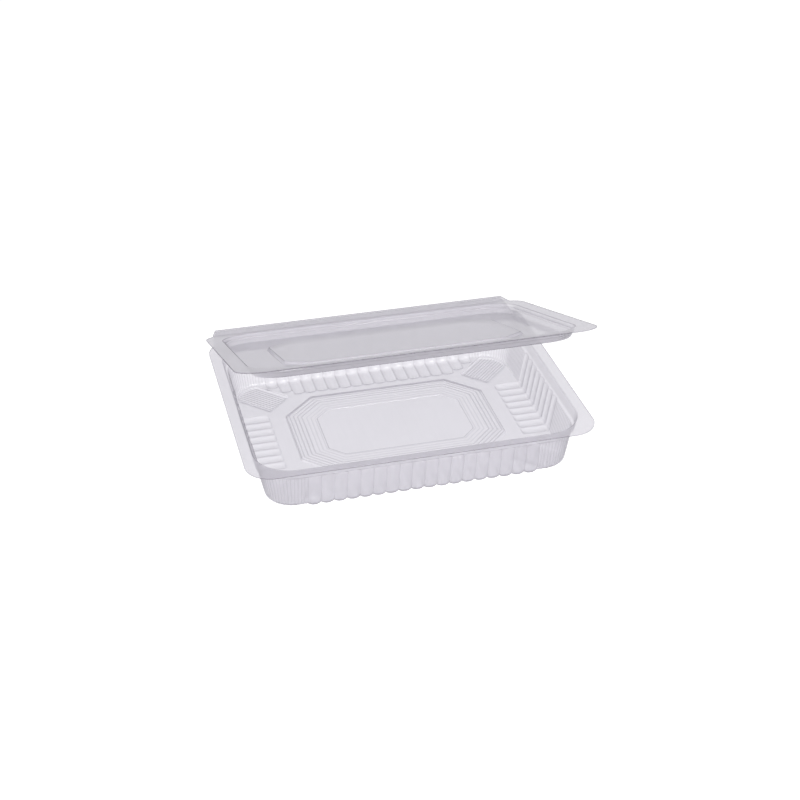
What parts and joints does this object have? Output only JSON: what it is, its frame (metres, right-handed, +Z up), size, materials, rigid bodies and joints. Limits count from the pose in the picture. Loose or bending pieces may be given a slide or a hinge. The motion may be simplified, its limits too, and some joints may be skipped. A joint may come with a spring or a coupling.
{
  "type": "clamshell pack",
  "caption": "Clear plastic clamshell food pack: shallow fluted tray and a recessed lid joined by a living hinge along the back, standing part open",
  "frame": {"origin": "middle of the open pack's footprint, on the surface it stands on", "axes": "X along the hinge, +Y from the front edge to the hinge, +Z up"},
  "size_m": [0.192, 0.1568, 0.0852],
  "materials": {
    "clear_sheet": "gloss clear"
  },
  "bodies": {
    "tray": {"tray": "clear_sheet"},
    "lid": {"lid": "clear_sheet"}
  },
  "joints": [
    {"name": "lid_hinge", "type": "hinge", "parent": "tray", "child": "lid", "pos_m": [0, 0.07844, 0.03], "axis": [-1, 0, 0], "range_deg": [-21, 159]}
  ]
}
